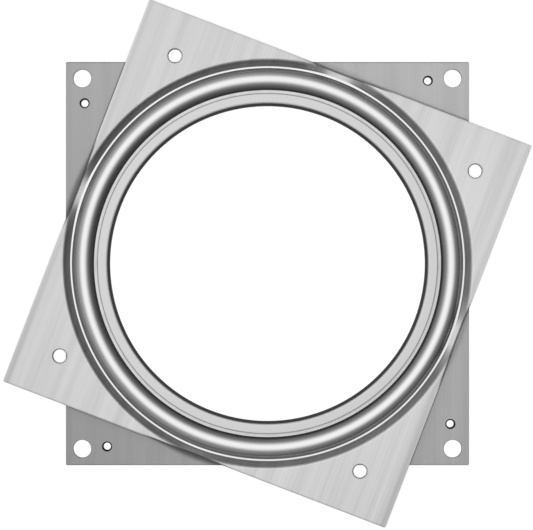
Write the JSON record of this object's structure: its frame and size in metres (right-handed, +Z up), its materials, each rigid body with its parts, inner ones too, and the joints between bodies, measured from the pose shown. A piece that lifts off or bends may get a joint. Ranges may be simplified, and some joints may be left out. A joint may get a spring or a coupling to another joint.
{
  "type": "lazy susan bearing",
  "caption": "Flat square swivel bearing: two pressed steel plates, joined by a folded rim round an open centre, turn on loose balls in a round track to carry a turntable.",
  "frame": {"origin": "on the swivel axis, in the plane of the lower plate's corner pads (the mounting plane)", "axes": "+Z up along the swivel axis, towards the upper plate; X and Y along the lower plate's sides"},
  "size_m": [0.1966, 0.1966, 0.0079],
  "materials": {
    "upper_zinc": "satin",
    "lower_zinc": "satin",
    "ball_steel": "polished"
  },
  "bodies": {
    "base": {"lower_plate": "lower_zinc"},
    "turntable": {"upper_plate": "upper_zinc"},
    "ball_ring": {"ball_01": "ball_steel", "ball_02": "ball_steel", "ball_03": "ball_steel", "ball_04": "ball_steel", "ball_05": "ball_steel", "ball_06": "ball_steel", "ball_07": "ball_steel", "ball_08": "ball_steel", "ball_09": "ball_steel", "ball_10": "ball_steel", "ball_11": "ball_steel", "ball_12": "ball_steel", "ball_13": "ball_steel", "ball_14": "ball_steel", "ball_15": "ball_steel", "ball_16": "ball_steel", "ball_17": "ball_steel", "ball_18": "ball_steel", "ball_19": "ball_steel", "ball_20": "ball_steel", "ball_21": "ball_steel", "ball_22": "ball_steel", "ball_23": "ball_steel", "ball_24": "ball_steel", "ball_25": "ball_steel", "ball_26": "ball_steel", "ball_27": "ball_steel", "ball_28": "ball_steel", "ball_29": "ball_steel", "ball_30": "ball_steel", "ball_31": "ball_steel", "ball_32": "ball_steel", "ball_33": "ball_steel", "ball_34": "ball_steel", "ball_35": "ball_steel", "ball_36": "ball_steel", "ball_37": "ball_steel", "ball_38": "ball_steel", "ball_39": "ball_steel", "ball_40": "ball_steel", "ball_41": "ball_steel", "ball_42": "ball_steel", "ball_43": "ball_steel", "ball_44": "ball_steel", "ball_45": "ball_steel", "ball_46": "ball_steel", "ball_47": "ball_steel", "ball_48": "ball_steel"}
  },
  "joints": [
    {"name": "swivel", "type": "hinge", "parent": "base", "child": "turntable", "pos_m": [0, 0, 0.00397], "axis": [0, 0, 1], "continuous": true},
    {"name": "ball_roll", "type": "hinge", "parent": "base", "child": "ball_ring", "pos_m": [0, 0, 0.00397], "axis": [0, 0, 1], "continuous": true}
  ],
  "couplings": [
    {"joint": "ball_roll", "follows": "swivel", "ratio": 0.5}
  ]
}
